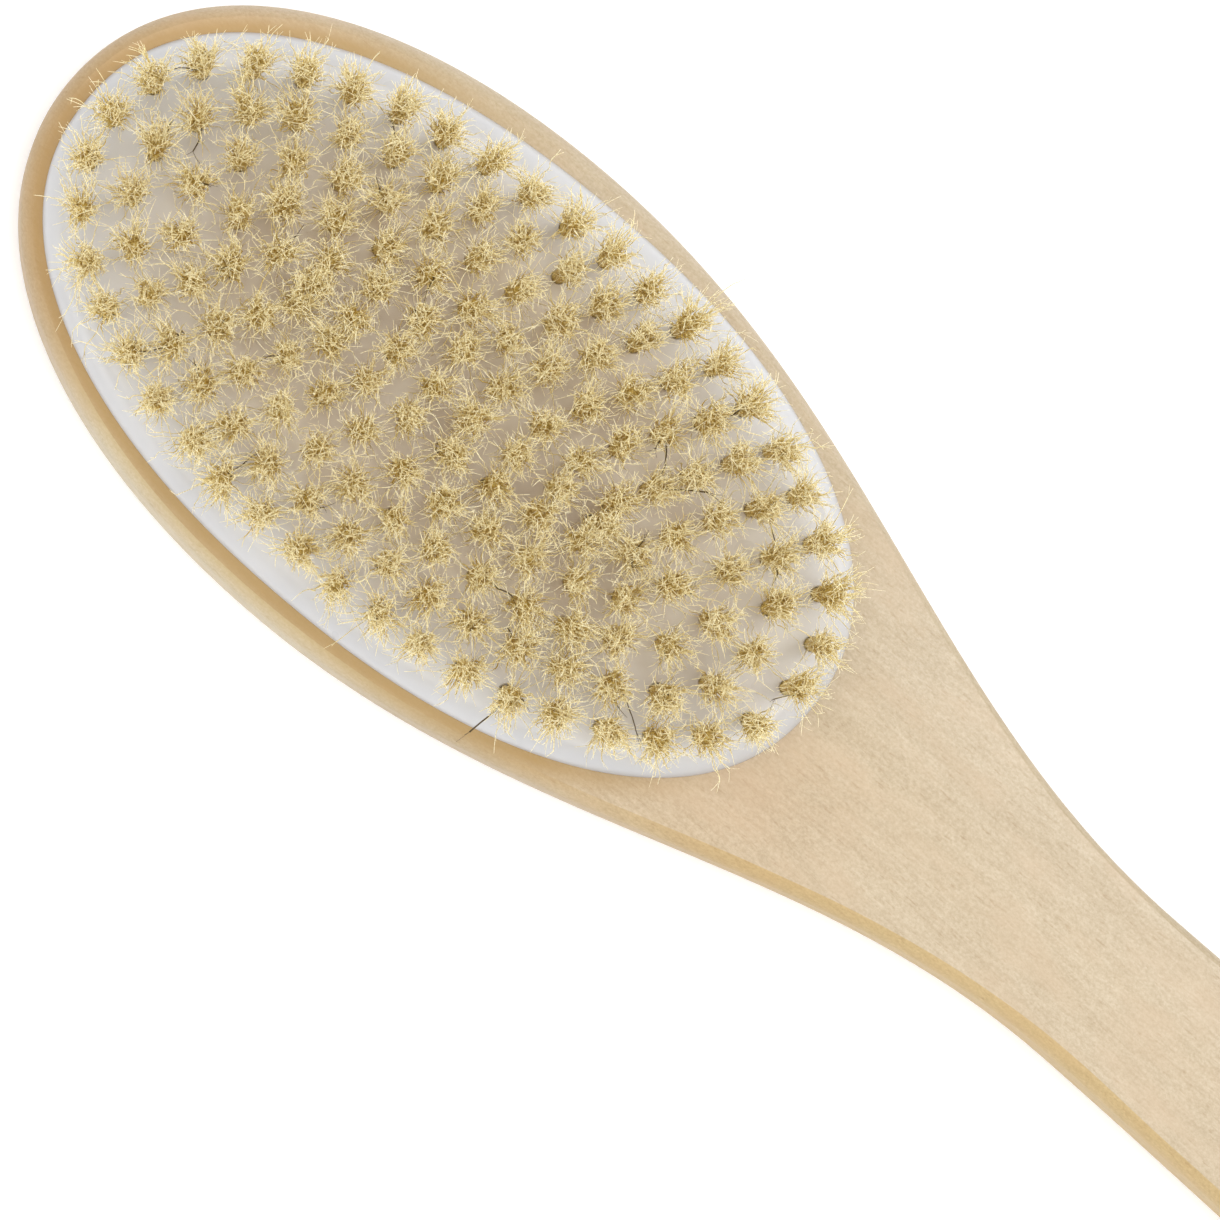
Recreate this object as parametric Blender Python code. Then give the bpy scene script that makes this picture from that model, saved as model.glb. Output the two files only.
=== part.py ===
"""Body dry brush with a long wooden handle.

The brush lies on its flat back with the bristles up. +X runs from the head's tip to the
end of the handle, +Y across it, +Z up. The origin is under the middle of its length, on
the surface it lies on. Lengths are in metres, written as millimetres times MM.

The wooden body has a recess in its head. A white plate sits in it on a bed of glue. The
tufts go up through holes in the plate, in rings. Six neighbouring tufts are drawn on one
wire, which lies in a shallow pocket under the plate, and they make one strip.
"""

import math

import bmesh
import bpy
from mathutils import Matrix, Vector

MM = 0.001
OBJECT_NAME = "body_dry_brush"

# Wooden body
BODY_LENGTH = 400 * MM
BODY_THICKNESS = 14 * MM
BODY_EDGE_RADIUS = 1.8 * MM
HEAD_WIDEST_AT = 63 * MM
HEAD_HALF_WIDTH = 37.1 * MM
HEAD_TIP_ROUNDNESS = 22.2 * MM
HEAD_FRONT_SWEEP = 37.9 * MM
HEAD_BACK_SWEEP = 46.3 * MM
NECK_AT = 182.3 * MM
NECK_HALF_WIDTH = 12.3 * MM
NECK_FRONT_SWEEP = 42.9 * MM
NECK_BACK_SWEEP = 38 * MM
GRIP_AT = 342 * MM
GRIP_HALF_WIDTH = 16 * MM
GRIP_SWEEP = 40 * MM
HANDLE_END_ROUNDNESS = 12.5 * MM
OUTLINE_STEPS = 9

# Plate and its recess
PLATE_CENTRE_FROM_TIP = 65.6 * MM
PLATE_HALF_LENGTH = 62.2 * MM
PLATE_HALF_WIDTH = 33.65 * MM
PLATE_TURN = 1.0
PLATE_SQUARENESS = 2.2
PLATE_SIDES = 48
PLATE_RIM_RISE = 2.6 * MM
PLATE_ROUND_WIDTH = 3.6 * MM
PLATE_ROUND_HEIGHT = 2.4 * MM
PLATE_ROUND_STEPS = 3
PLATE_DOME = 1.3 * MM
PLATE_DOME_LOOPS = (0.66, 0.33)
RECESS_DEPTH = 4 * MM
PLATE_FOOT = 1.2 * MM
POCKET_INSET = 2.2 * MM
POCKET_DEPTH = 1.4 * MM
GLUE_INSET = 1 * MM
GLUE_THICKNESS = 0.6 * MM
GAP = 0.3 * MM

# Tufts
RING_COUNTS = (42, 36, 30, 24, 18)
OUTER_RING_HALF_LENGTH = 57.7 * MM
OUTER_RING_HALF_WIDTH = 27.5 * MM
RING_STEP_LONG = 6.95 * MM
RING_STEP_WIDE = 5.55 * MM
RING_SQUARENESS = 2.17
CENTRE_ROW_COUNT = 8
CENTRE_ROW_HALF_LENGTH = 24 * MM
TUFTS_PER_STRIP = 6
TUFT_SIDES = 6
TUFT_LENGTH = 19 * MM
TUFT_ROOT_RADIUS = 1.15 * MM
TUFT_TIP_RADIUS = 1.9 * MM
TUFT_ROOT_ABOVE_FOOT = 0.25 * MM
HOLE_RADIUS = 1.45 * MM
WIRE_RADIUS = 0.45 * MM
WIRE_ABOVE_FOOT = 0.55 * MM
ARC_SAMPLES = 720

# Heights, from the back of the brush up
FACE_Z = BODY_THICKNESS
RECESS_FLOOR_Z = FACE_Z - RECESS_DEPTH
PLATE_FOOT_Z = RECESS_FLOOR_Z + PLATE_FOOT
PLATE_RIM_Z = FACE_Z + PLATE_RIM_RISE
CUTTER_MARGIN = 2 * MM

WOOD_COLOUR = (0.72, 0.57, 0.38)
PLATE_COLOUR = (0.83, 0.83, 0.86)
GLUE_COLOUR = (0.62, 0.55, 0.38)
BRISTLE_COLOUR = (0.66, 0.52, 0.26)


def clear_scene():
    for obj in list(bpy.data.objects):
        bpy.data.objects.remove(obj)


def new_collection(name):
    collection = bpy.data.collections.new(name)
    bpy.context.scene.collection.children.link(collection)
    return collection


def new_material(name, colour, roughness, metallic=0.0):
    material = bpy.data.materials.new(name)
    material.use_nodes = True
    shader = material.node_tree.nodes["Principled BSDF"]
    shader.inputs["Base Color"].default_value = (*colour, 1.0)
    shader.inputs["Roughness"].default_value = roughness
    shader.inputs["Metallic"].default_value = metallic
    material.diffuse_color = (*colour, 1.0)
    return material


def add_mesh_object(name, bm, collection, material=None, place=Matrix.Identity(4)):
    """Turns bm into an object, moved and turned by place, with its faces pointing out."""
    bmesh.ops.recalc_face_normals(bm, faces=bm.faces)
    mesh = bpy.data.meshes.new(name)
    bm.to_mesh(mesh)
    bm.free()
    obj = bpy.data.objects.new(name, mesh)
    obj.matrix_world = place
    collection.objects.link(obj)
    if material:
        mesh.materials.append(material)
    return obj


def hide_helper(obj):
    obj.hide_render = True
    obj.display_type = "WIRE"


def add_boolean(obj, other, operation):
    modifier = obj.modifiers.new(other.name, "BOOLEAN")
    modifier.operation = operation
    modifier.solver = "EXACT"
    modifier.object = other


def shade_round(obj, sharp_angle=40):
    obj.data.shade_smooth()
    obj.data.set_sharp_from_angle(angle=math.radians(sharp_angle))


def from_tip(distance):
    """The X of a point that is this far from the head's tip."""
    return distance - BODY_LENGTH / 2


def plate_place():
    """Where the plate's centre is, and how far the plate is turned from the handle's line."""
    turn = Matrix.Rotation(math.radians(PLATE_TURN), 4, "Z")
    return Matrix.Translation((from_tip(PLATE_CENTRE_FROM_TIP), 0, 0)) @ turn


def mesh_from_curve(curve_object, name, collection, material=None):
    """A welded mesh object with the shape of curve_object, which is removed."""
    bpy.context.view_layer.update()
    graph = bpy.context.evaluated_depsgraph_get()
    mesh = bpy.data.meshes.new_from_object(curve_object.evaluated_get(graph))
    bm = bmesh.new()
    bm.from_mesh(mesh)
    bmesh.ops.remove_doubles(bm, verts=bm.verts, dist=0.001 * MM)
    place = curve_object.matrix_world.copy()
    bpy.data.meshes.remove(mesh)
    bpy.data.objects.remove(curve_object)
    return add_mesh_object(name, bm, collection, material, place)


# Ovals: the plate and the rings of tufts are superellipses


def oval_point(angle, half_length, half_width, squareness):
    cosine = math.cos(angle)
    sine = math.sin(angle)
    power = 2 / squareness
    x = math.copysign(abs(cosine) ** power, cosine) * half_length
    y = math.copysign(abs(sine) ** power, sine) * half_width
    return Vector((x, y, 0.0))


def plate_loop(bm, inset, z, scale=1.0):
    """One loop of vertices along the plate's outline, moved in by inset and then scaled."""
    loop = []
    for step in range(PLATE_SIDES):
        angle = math.tau * step / PLATE_SIDES
        point = oval_point(
            angle, PLATE_HALF_LENGTH - inset, PLATE_HALF_WIDTH - inset, PLATE_SQUARENESS
        )
        loop.append(bm.verts.new((point.x * scale, point.y * scale, z)))
    return loop


def skin_loops(bm, loops):
    """Joins each loop of vertices to the next, closes both ends and returns the last end."""
    for lower, upper in zip(loops, loops[1:]):
        for step, vertex in enumerate(lower):
            following = (step + 1) % len(lower)
            bm.faces.new((vertex, lower[following], upper[following], upper[step]))
    bm.faces.new(loops[0])
    return bm.faces.new(loops[-1])


def dome_height(x, y):
    """How far the plate's top rises above its rim at x, y from the plate's centre."""
    along = x / (PLATE_HALF_LENGTH - PLATE_ROUND_WIDTH)
    across = y / (PLATE_HALF_WIDTH - PLATE_ROUND_WIDTH)
    return PLATE_DOME * (1 - along**2 - across**2)


def dome_normal(x, y):
    along = PLATE_HALF_LENGTH - PLATE_ROUND_WIDTH
    across = PLATE_HALF_WIDTH - PLATE_ROUND_WIDTH
    slope_x = 2 * PLATE_DOME * x / along**2
    slope_y = 2 * PLATE_DOME * y / across**2
    return Vector((slope_x, slope_y, 1.0)).normalized()


def plate_prism(name, inset, low_z, high_z, collection, material=None):
    """A flat slab with the plate's outline, moved in by inset, or out where it is below 0."""
    bm = bmesh.new()
    skin_loops(bm, [plate_loop(bm, inset, low_z), plate_loop(bm, inset, high_z)])
    return add_mesh_object(name, bm, collection, material, plate_place())


# Wooden body


def body_outline():
    """The outline's bezier points: each is its place and how far its handles reach.

    The first distance is the reach back along the outline and the second the reach
    forward, and the direction is the outline's own direction at the point.
    """
    upper = [
        (HEAD_WIDEST_AT, HEAD_HALF_WIDTH, HEAD_FRONT_SWEEP, HEAD_BACK_SWEEP),
        (NECK_AT, NECK_HALF_WIDTH, NECK_FRONT_SWEEP, NECK_BACK_SWEEP),
        (GRIP_AT, GRIP_HALF_WIDTH, GRIP_SWEEP, GRIP_SWEEP),
    ]
    forward = Vector((1, 0, 0))
    left = Vector((0, 1, 0))
    points = [(Vector((0, 0, 0)), left, HEAD_TIP_ROUNDNESS, HEAD_TIP_ROUNDNESS)]
    for x, y, back, ahead in upper:
        points.append((Vector((x, y, 0)), forward, back, ahead))
    end = Vector((BODY_LENGTH, 0, 0))
    points.append((end, -left, HANDLE_END_ROUNDNESS, HANDLE_END_ROUNDNESS))
    for x, y, back, ahead in reversed(upper):
        points.append((Vector((x, -y, 0)), -forward, ahead, back))
    return points


def make_wooden_body(parts, helpers):
    curve = bpy.data.curves.new("body_outline", "CURVE")
    curve.dimensions = "2D"
    curve.fill_mode = "BOTH"
    curve.resolution_u = OUTLINE_STEPS
    curve.extrude = BODY_THICKNESS / 2 - BODY_EDGE_RADIUS
    curve.bevel_depth = BODY_EDGE_RADIUS
    curve.bevel_resolution = 1
    curve.offset = -BODY_EDGE_RADIUS
    spline = curve.splines.new("BEZIER")
    outline = body_outline()
    spline.bezier_points.add(len(outline) - 1)
    spline.use_cyclic_u = True
    for bezier, (place, direction, back, ahead) in zip(spline.bezier_points, outline):
        bezier.handle_left_type = "FREE"
        bezier.handle_right_type = "FREE"
        bezier.co = place
        bezier.handle_left = place - direction * back
        bezier.handle_right = place + direction * ahead
    outline_object = bpy.data.objects.new("body_outline", curve)
    outline_object.location = (from_tip(0), 0, BODY_THICKNESS / 2)
    parts.objects.link(outline_object)
    wood = new_material("wood", WOOD_COLOUR, 0.55)
    body = mesh_from_curve(outline_object, "wooden_body", parts, wood)
    recess = plate_prism(
        "recess_cutter", -GAP, RECESS_FLOOR_Z, FACE_Z + CUTTER_MARGIN, helpers
    )
    hide_helper(recess)
    add_boolean(body, recess, "DIFFERENCE")
    shade_round(body)


def make_glue_bed(parts):
    glue = new_material("glue", GLUE_COLOUR, 0.5)
    low_z = RECESS_FLOOR_Z + GAP
    plate_prism("glue_bed", GLUE_INSET, low_z, low_z + GLUE_THICKNESS, parts, glue)


# Plate


def plate_solid():
    bm = bmesh.new()
    wall_top_z = PLATE_RIM_Z - PLATE_ROUND_HEIGHT
    loops = [plate_loop(bm, 0, PLATE_FOOT_Z)]
    for step in range(PLATE_ROUND_STEPS + 1):
        turn = math.pi / 2 * step / PLATE_ROUND_STEPS
        inset = PLATE_ROUND_WIDTH * (1 - math.cos(turn))
        loops.append(plate_loop(bm, inset, wall_top_z + PLATE_ROUND_HEIGHT * math.sin(turn)))
    for scale in PLATE_DOME_LOOPS:
        z = PLATE_RIM_Z + PLATE_DOME * (1 - scale**2)
        loops.append(plate_loop(bm, PLATE_ROUND_WIDTH, z, scale))
    top = skin_loops(bm, loops)
    middle = bmesh.ops.poke(bm, faces=[top])["verts"][0]
    middle.co.z = PLATE_RIM_Z + PLATE_DOME
    bmesh.ops.triangulate(bm, faces=bm.faces)
    return bm


def hole_cutters(tufts, helpers):
    """One object with an upright prism at every tuft."""
    bm = bmesh.new()
    height = PLATE_RIM_Z + PLATE_DOME - PLATE_FOOT_Z + 2 * CUTTER_MARGIN
    middle_z = PLATE_FOOT_Z - CUTTER_MARGIN + height / 2
    for tuft in tufts:
        bmesh.ops.create_cone(
            bm,
            cap_ends=True,
            segments=TUFT_SIDES,
            radius1=HOLE_RADIUS,
            radius2=HOLE_RADIUS,
            depth=height,
            matrix=Matrix.Translation((tuft.x, tuft.y, middle_z)),
        )
    return add_mesh_object("tuft_hole_cutter", bm, helpers, None, plate_place())


def make_plate(tufts, parts, helpers):
    plastic = new_material("white_plastic", PLATE_COLOUR, 0.35)
    plate = add_mesh_object("bristle_plate", plate_solid(), parts, plastic, plate_place())
    pocket = plate_prism(
        "wire_pocket_cutter",
        POCKET_INSET,
        PLATE_FOOT_Z - CUTTER_MARGIN,
        PLATE_FOOT_Z + POCKET_DEPTH,
        helpers,
    )
    holes = hole_cutters(tufts, helpers)
    for cutter in (pocket, holes):
        hide_helper(cutter)
        add_boolean(plate, cutter, "DIFFERENCE")
    shade_round(plate)


# Tufts


def ring_places(count, half_length, half_width):
    """Places at equal steps along an oval, the first at the end nearest the head's tip."""
    samples = [
        oval_point(math.pi - math.tau * step / ARC_SAMPLES, half_length, half_width, RING_SQUARENESS)
        for step in range(ARC_SAMPLES + 1)
    ]
    travelled = [0.0]
    for start, end in zip(samples, samples[1:]):
        travelled.append(travelled[-1] + (end - start).length)
    places = []
    segment = 0
    for index in range(count):
        target = travelled[-1] * index / count
        while travelled[segment + 1] < target:
            segment += 1
        part = (target - travelled[segment]) / (travelled[segment + 1] - travelled[segment])
        places.append(samples[segment].lerp(samples[segment + 1], part))
    return places


def centre_row_places():
    step = 2 * CENTRE_ROW_HALF_LENGTH / (CENTRE_ROW_COUNT - 1)
    return [Vector((-CENTRE_ROW_HALF_LENGTH + step * index, 0, 0)) for index in range(CENTRE_ROW_COUNT)]


def strips_of_tufts():
    """Each strip's name and the places of its tufts, from the plate's centre."""
    strips = []
    for ring, count in enumerate(RING_COUNTS):
        half_length = OUTER_RING_HALF_LENGTH - RING_STEP_LONG * ring
        half_width = OUTER_RING_HALF_WIDTH - RING_STEP_WIDE * ring
        places = ring_places(count, half_length, half_width)
        for strip in range(count // TUFTS_PER_STRIP):
            first = strip * TUFTS_PER_STRIP
            name = f"tuft_strip_ring{ring + 1}_{strip + 1}"
            strips.append((name, places[first : first + TUFTS_PER_STRIP]))
    row = centre_row_places()
    half = CENTRE_ROW_COUNT // 2
    strips.append(("tuft_strip_centre_1", row[:half]))
    strips.append(("tuft_strip_centre_2", row[half:]))
    return strips


def add_tuft(bm, place):
    """A stem that goes up through the plate, then a bunch that widens and leans outwards."""
    base_z = PLATE_RIM_Z + dome_height(place.x, place.y)
    tip = Vector((place.x, place.y, base_z)) + dome_normal(place.x, place.y) * TUFT_LENGTH
    sections = [
        (Vector((place.x, place.y, PLATE_FOOT_Z + TUFT_ROOT_ABOVE_FOOT)), TUFT_ROOT_RADIUS),
        (Vector((place.x, place.y, base_z)), TUFT_ROOT_RADIUS),
        (tip, TUFT_TIP_RADIUS),
    ]
    loops = []
    for centre, radius in sections:
        loop = []
        for side in range(TUFT_SIDES):
            turn = math.tau * side / TUFT_SIDES
            offset = Vector((math.cos(turn), math.sin(turn), 0)) * radius
            loop.append(bm.verts.new(centre + offset))
        loops.append(loop)
    skin_loops(bm, loops)


def make_wire(name, places, helpers):
    curve = bpy.data.curves.new(name, "CURVE")
    curve.dimensions = "3D"
    curve.bevel_depth = WIRE_RADIUS
    curve.bevel_resolution = 1
    curve.use_fill_caps = True
    spline = curve.splines.new("POLY")
    spline.points.add(len(places) - 1)
    for point, place in zip(spline.points, places):
        point.co = (place.x, place.y, PLATE_FOOT_Z + WIRE_ABOVE_FOOT, 1)
    wire = bpy.data.objects.new(name, curve)
    wire.matrix_world = plate_place()
    helpers.objects.link(wire)
    return mesh_from_curve(wire, name, helpers)


def make_tuft_strip(name, places, bristle, parts, helpers):
    bm = bmesh.new()
    for place in places:
        add_tuft(bm, place)
    strip = add_mesh_object(name, bm, parts, bristle, plate_place())
    wire = make_wire(name + "_wire", places, helpers)
    hide_helper(wire)
    add_boolean(strip, wire, "UNION")


def main():
    clear_scene()
    parts = new_collection(OBJECT_NAME)
    helpers = new_collection("cutters_and_wires")
    strips = strips_of_tufts()
    tufts = [place for _, places in strips for place in places]
    make_wooden_body(parts, helpers)
    make_glue_bed(parts)
    make_plate(tufts, parts, helpers)
    bristle = new_material("bristle", BRISTLE_COLOUR, 0.6)
    for name, places in strips:
        make_tuft_strip(name, places, bristle, parts, helpers)


main()
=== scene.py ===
"""Looks of the body dry brush: pale wood, a white plate and real bristles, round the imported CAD.

Lengths are in metres, written as millimetres times MM. +X runs from the head's tip to the
handle's end and +Z is up, out of the bristles.
"""

import math

import bmesh
import bpy
import numpy as np
from mathutils import Matrix, Vector, noise


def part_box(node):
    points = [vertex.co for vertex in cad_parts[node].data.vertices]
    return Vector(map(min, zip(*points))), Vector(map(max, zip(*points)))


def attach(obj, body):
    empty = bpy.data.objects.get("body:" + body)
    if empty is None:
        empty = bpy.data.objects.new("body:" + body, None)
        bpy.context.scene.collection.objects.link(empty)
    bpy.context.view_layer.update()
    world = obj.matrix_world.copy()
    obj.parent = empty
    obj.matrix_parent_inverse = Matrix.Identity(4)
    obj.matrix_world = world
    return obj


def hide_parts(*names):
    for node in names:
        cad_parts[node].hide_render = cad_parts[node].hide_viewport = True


MM = 0.001
SEED = 20

# Wooden body: the outline's shape, as the CAD body has it
HEAD_WIDEST_AT = 63 * MM
HEAD_TIP_ROUNDNESS = 22.2 * MM
HEAD_FRONT_SWEEP = 37.9 * MM
HEAD_BACK_SWEEP = 46.3 * MM
NECK_AT = 182.3 * MM
NECK_HALF_WIDTH = 12.3 * MM
NECK_FRONT_SWEEP = 42.9 * MM
NECK_BACK_SWEEP = 38 * MM
GRIP_AT = 342 * MM
GRIP_HALF_WIDTH = 16 * MM
GRIP_SWEEP = 40 * MM
HANDLE_END_ROUNDNESS = 12.5 * MM
OUTLINE_STEPS = 60

# Wooden body: its rounded edges, which meet the faces in a crisp line
EDGE_CIRCLE = 2.9 * MM
EDGE_START_ANGLE = 24
EDGE_STEPS = 7
EDGE_WANDER = 0.16 * MM
EDGE_WANDER_SCALE = 70
WOOD_DARKER = (0.480, 0.394, 0.276)
WOOD_LIGHTER = (0.535, 0.446, 0.320)
WOOD_BLUSH = (0.520, 0.395, 0.265)
# Painted shade, golden brown, on the wood round the plate
WOOD_RIM_SHADE = (0.415, 0.268, 0.098)
WOOD_SIDE = (1.06, 0.96, 0.70)
# Painted shade on the far edge along the handle
WOOD_SHADED_FAR_EDGE = (0.90, 0.88, 0.82)
# Painted light, paler and cooler, on the near edge and side of the head
WOOD_LIT_NEAR_EDGE = (1.16, 1.25, 1.34)
# Painted shade beside the plate on the near half, toward the handle
WOOD_SHADE_BY_PLATE = (0.93, 0.88, 0.84)
# Painted light, paler and cooler, over the far half
WOOD_LIT_FAR_HALF = (1.03, 1.05, 1.09)
WOOD_BY_TIP = (0.99, 0.94, 0.90)
FAR_EDGE_SHARE = 0.6
FAR_EDGE_FROM = 85 * MM
FAR_EDGE_FADE = 35 * MM
RECESS_OVERLAP = 0.1 * MM
RECESS_DEPTH = 4 * MM
DISH_WIDTH = 3.4 * MM
DISH_DEPTH = 0.25 * MM
DISH_STEPS = 8

# Plate
PLATE_HALF_LENGTH = 62.2 * MM
PLATE_HALF_WIDTH = 33.65 * MM
PLATE_TURN = 1.0
PLATE_SQUARENESS = 2.2
PLATE_SIDES = 192
PLATE_ROUND_WIDTH = 3.6 * MM
PLATE_ROUND_HEIGHT = 2.4 * MM
PLATE_ROUND_STEPS = 10
PLATE_ROUND_START = 25
PLATE_DOME = 1.3 * MM
PLATE_DOME_STEPS = 14
HOLE_RADIUS = 0.98 * MM
HOLE_DEPTH = 2.5 * MM
HOLE_CHAMFER = 0.14 * MM
HOLE_SIDES = 20

# Bristles
BRISTLES_PER_TUFT = 145
BRISTLE_POINTS = 14
BRISTLE_RADIUS = 0.084 * MM
BRISTLE_TIP_RADIUS = 0.088 * MM
BRISTLE_LENGTH = 19 * MM
TUFT_ROOT_RADIUS = 0.92 * MM
TUFT_SPLAY = 0.4
TUFT_FLARE = 0.95 * MM
TUFT_LEAN = 0.5 * MM
TUFT_FAN = 1.0 * MM
BRISTLE_SCATTER = 0.32 * MM
CLUMPS_PER_TUFT = 13
LOOSE_SHARE = 0.4
ACROSS_SHARE = 0.4
SHORT_SHARE = 0.6
STEP_CROWDING = 1.7
LEAN_CURVE = 1.4
TUFT_ROOT_DEPTH = 1.6 * MM
FOOT_REACH = 2.6 * MM
END_REACH = 4.2 * MM
END_DEPTH = 4 * MM
DARK_SHARE = 0.002
STRAY_SHARE = 0.035
SPLITS_PER_BRISTLE = 2
SPLIT_POINTS = 4
SPLIT_RADIUS = 0.042 * MM
SPLIT_TIP_RADIUS = 0.024 * MM
CORE_SIDES = 24
CORE_PROFILE = (
    (0.0, 0.80 * MM),
    (0.3, 0.80 * MM),
    (0.5, 0.84 * MM),
    (0.58, 0.84 * MM),
    (0.63, 0.78 * MM),
    (0.67, 0.62 * MM),
    (0.69, 0.42 * MM),
    (0.70, 0.2 * MM),
)
CORE_LUMPS = 0.12 * MM
CORE_FAN_SHARE = 0.2

BRISTLE_TONES = (
    (0.0, (0.70, 0.52, 0.115)),
    (0.35, (0.90, 0.74, 0.24)),
    (0.7, (0.96, 0.88, 0.52)),
    (1.0, (0.97, 0.93, 0.72)),
)
BRISTLE_TIP = (0.99, 0.93, 0.66)
BRISTLE_DARK = (0.035, 0.022, 0.014)
BRISTLE_GLOW = (0.80, 0.56, 0.19, 1)

# Floor, camera and light. The floor lies just below the back, so that the two never coincide
FLOOR_GAP = 0.2 * MM
CAMERA_DISTANCE = 1100 * MM
CAMERA_SIDE_TILT = 5.5
CAMERA_TIP_TILT = 1.3
CAMERA_ROLL = 41.15
FRAME_WIDTH = 160.5 * MM
FRAME_CENTRE_FROM_TIP = 99.15 * MM
FRAME_CENTRE_Y = -6.4 * MM
SENSOR_WIDTH = 36


# Node helpers


def new_material(name):
    """An empty node material: returns it, its node tree and its Principled shader."""
    material = bpy.data.materials.new(name)
    material.use_nodes = True
    tree = material.node_tree
    return material, tree, tree.nodes["Principled BSDF"]


def add_node(tree, kind, settings=None, **inputs):
    """Adds a node. Settings are its properties, and inputs are values or sockets to link."""
    node = tree.nodes.new(kind)
    for key, value in (settings or {}).items():
        setattr(node, key, value)
    for key, value in inputs.items():
        socket = node.inputs[key]
        if isinstance(value, bpy.types.NodeSocket):
            tree.links.new(value, socket)
        else:
            socket.default_value = value
    return node


def add_noise(tree, vector, scale, detail=3.0, roughness=0.55):
    node = add_node(
        tree, "ShaderNodeTexNoise", Vector=vector, Scale=scale, Detail=detail, Roughness=roughness
    )
    return node.outputs["Fac"]


def stretched(tree, coordinates, scale):
    """The coordinates scaled by a vector, which stretches a texture along the short one."""
    node = add_node(tree, "ShaderNodeMapping", Vector=coordinates)
    node.inputs["Scale"].default_value = scale
    return node.outputs["Vector"]


def ramp(tree, factor, stops):
    """A colour ramp through (position, grey or colour) stops."""
    node = add_node(tree, "ShaderNodeValToRGB", Fac=factor)
    elements = node.color_ramp.elements
    while len(elements) < len(stops):
        elements.new(0.5)
    for element, (position, value) in zip(elements, stops):
        element.position = position
        colour = value if isinstance(value, tuple) else (value, value, value)
        element.color = (*colour, 1.0)
    return node.outputs["Color"]


def mix_colour(tree, factor, first, second, blend="MIX"):
    node = tree.nodes.new("ShaderNodeMix")
    node.data_type = "RGBA"
    node.blend_type = blend
    for index, value in ((0, factor), (6, first), (7, second)):
        socket = node.inputs[index]
        if isinstance(value, bpy.types.NodeSocket):
            tree.links.new(value, socket)
        elif index == 0:
            socket.default_value = value
        else:
            socket.default_value = (*value, 1.0)
    return node.outputs[2]


def arithmetic(tree, operation, first, second=0.0):
    node = tree.nodes.new("ShaderNodeMath")
    node.operation = operation
    for socket, value in zip(node.inputs, (first, second)):
        if isinstance(value, bpy.types.NodeSocket):
            tree.links.new(value, socket)
        else:
            socket.default_value = value
    return node.outputs[0]


def between(tree, value, low, high):
    """0 where the value is at low or beyond it, 1 at high, and even in between."""
    node = add_node(tree, "ShaderNodeMapRange", {"clamp": True}, Value=value)
    node.inputs["From Min"].default_value = low
    node.inputs["From Max"].default_value = high
    return node.outputs["Result"]


def add_bump(tree, shader, height, distance, strength=1.0):
    node = add_node(tree, "ShaderNodeBump", Height=height, Distance=distance, Strength=strength)
    tree.links.new(node.outputs["Normal"], shader.inputs["Normal"])


# Materials


def wood_material():
    """Pale close-grained wood, sanded and unvarnished, with its grain along X."""
    material, tree, shader = new_material("pale_wood")
    coordinates = add_node(tree, "ShaderNodeTexCoord")
    place = coordinates.outputs["Object"]
    broad = add_noise(tree, stretched(tree, place, (9, 34, 34)), 1.0, 3.0)
    bands = add_noise(tree, stretched(tree, place, (26, 330, 330)), 1.0, 4.0, 0.6)
    fibres = add_noise(tree, stretched(tree, place, (260, 2200, 2200)), 1.0, 3.0, 0.65)
    flecks = add_noise(tree, stretched(tree, place, (520, 2600, 2600)), 1.0, 2.0, 0.5)
    speckle = add_noise(tree, stretched(tree, place, (2100, 2900, 2900)), 1.0, 2.0, 0.7)
    blush = add_noise(tree, stretched(tree, place, (60, 150, 150)), 1.0, 3.0, 0.6)
    colour = ramp(tree, broad, [(0.3, WOOD_DARKER), (0.7, WOOD_LIGHTER)])
    streaks = ramp(tree, bands, [(0.35, (0.95, 0.93, 0.90)), (0.62, (1.02, 1.02, 1.02))])
    colour = mix_colour(tree, 0.8, colour, streaks, "MULTIPLY")
    threads = ramp(tree, fibres, [(0.3, (0.91, 0.89, 0.86)), (0.65, (1.04, 1.04, 1.04))])
    colour = mix_colour(tree, 0.7, colour, threads, "MULTIPLY")
    specks = ramp(tree, speckle, [(0.3, (0.86, 0.83, 0.78)), (0.7, (1.08, 1.09, 1.11))])
    colour = mix_colour(tree, 0.9, colour, specks, "MULTIPLY")
    marks = ramp(tree, flecks, [(0.26, (0.70, 0.58, 0.46)), (0.37, (1.0, 1.0, 1.0))])
    colour = mix_colour(tree, 0.4, colour, marks, "MULTIPLY")
    warmth = ramp(tree, blush, [(0.46, 0.0), (0.72, 0.55)])
    colour = mix_colour(tree, warmth, colour, WOOD_BLUSH)
    # Painted shade, golden brown, round the plate
    colour = mix_colour(tree, painted_rim_shade(tree, place), colour, WOOD_RIM_SHADE)
    # Zones of painted light and shade, and two warmer tints
    for share, tint in wood_zones(tree, place, coordinates.outputs["Normal"]):
        colour = mix_colour(tree, share, colour, tint, "MULTIPLY")
    tree.links.new(colour, shader.inputs["Base Color"])
    gloss = ramp(tree, fibres, [(0.3, 0.62), (0.7, 0.48)])
    tree.links.new(gloss, shader.inputs["Roughness"])
    shader.inputs["Specular IOR Level"].default_value = 0.35
    relief = arithmetic(tree, "ADD", fibres, arithmetic(tree, "MULTIPLY", speckle, 0.8))
    add_bump(tree, shader, relief, 0.05 * MM, 0.5)
    return material


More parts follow.
